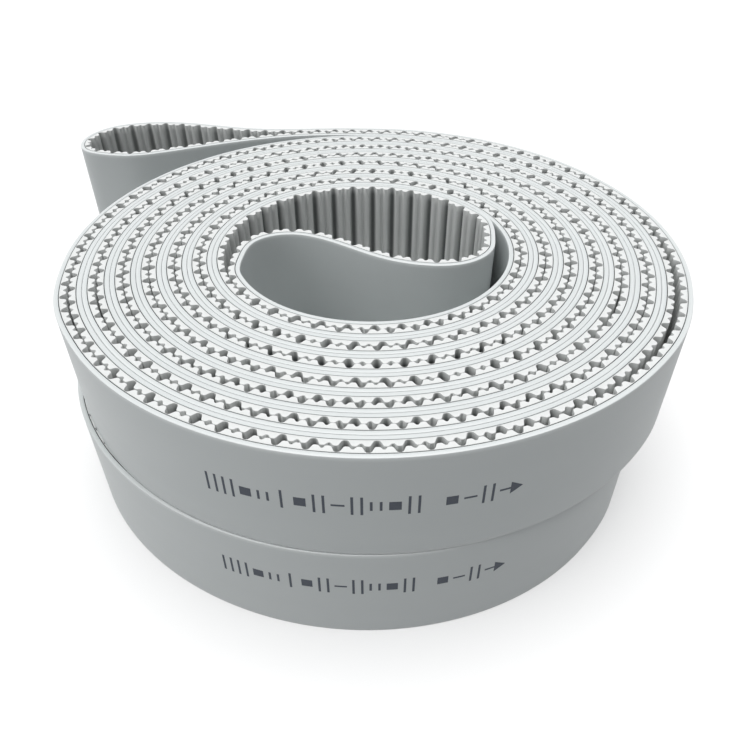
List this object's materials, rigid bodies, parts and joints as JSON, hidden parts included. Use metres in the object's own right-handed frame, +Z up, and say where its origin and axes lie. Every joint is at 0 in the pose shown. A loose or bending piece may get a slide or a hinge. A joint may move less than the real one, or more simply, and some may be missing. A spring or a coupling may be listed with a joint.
{
  "type": "timing belt",
  "caption": "Two endless polyurethane timing belts with steel cords, each folded double and wound into a spiral roll, stacked on edge, with a free loop at the eye and at the tail.",
  "frame": {"origin": "middle of the assembly's box, on the surface that the lower roll stands on", "axes": "+Z up along the rolls' axis, the belts on edge; the free tail loops point to -X at the +Y side; the print faces -Y"},
  "size_m": [0.2968, 0.2678, 0.1002],
  "materials": {
    "belt_cover": "smooth satin polyurethane",
    "steel_cord": "zinc-coated wire cord",
    "belt_teeth": "matt moulded polyurethane"
  },
  "bodies": {
    "lower_roll": {"lower_outer_strand_cover": "belt_cover", "lower_outer_strand_cords": "steel_cord", "lower_outer_strand_teeth": "belt_teeth", "lower_inner_strand_cover": "belt_cover", "lower_inner_strand_cords": "steel_cord", "lower_inner_strand_teeth": "belt_teeth", "lower_inner_loop_cover": "belt_cover", "lower_inner_loop_cords": "steel_cord", "lower_inner_loop_teeth": "belt_teeth"},
    "lower_tail_loop": {"lower_outer_loop_cover": "belt_cover", "lower_outer_loop_cords": "steel_cord", "lower_outer_loop_teeth": "belt_teeth"},
    "upper_roll": {"upper_outer_strand_cover": "belt_cover", "upper_outer_strand_cords": "steel_cord", "upper_outer_strand_teeth": "belt_teeth", "upper_inner_strand_cover": "belt_cover", "upper_inner_strand_cords": "steel_cord", "upper_inner_strand_teeth": "belt_teeth"},
    "upper_eye_loop": {"upper_inner_loop_cover": "belt_cover", "upper_inner_loop_cords": "steel_cord", "upper_inner_loop_teeth": "belt_teeth"},
    "upper_tail_loop": {"upper_outer_loop_cover": "belt_cover", "upper_outer_loop_cords": "steel_cord", "upper_outer_loop_teeth": "belt_teeth"}
  },
  "joints": [
    {"name": "upper_belt_lift", "type": "slide", "parent": "lower_roll", "child": "upper_roll", "axis": [0, 0, 1], "range_m": [0, 0.06]},
    {"name": "upper_tail_swing", "type": "hinge", "parent": "upper_roll", "child": "upper_tail_loop", "pos_m": [0.01142, 0.11955, 0.0752], "axis": [0, 0, 1], "range_deg": [-15, 0], "stiffness_Nm_per_rad": 0.3},
    {"name": "lower_tail_swing", "type": "hinge", "parent": "lower_roll", "child": "lower_tail_loop", "pos_m": [0.00262, 0.11374, 0.025], "axis": [0, 0, 1], "range_deg": [-15, 0], "stiffness_Nm_per_rad": 0.3},
    {"name": "eye_loop_rise", "type": "slide", "parent": "upper_roll", "child": "upper_eye_loop", "axis": [0, 0, 1], "range_m": [0, 0.012], "stiffness_N_per_m": 200}
  ]
}
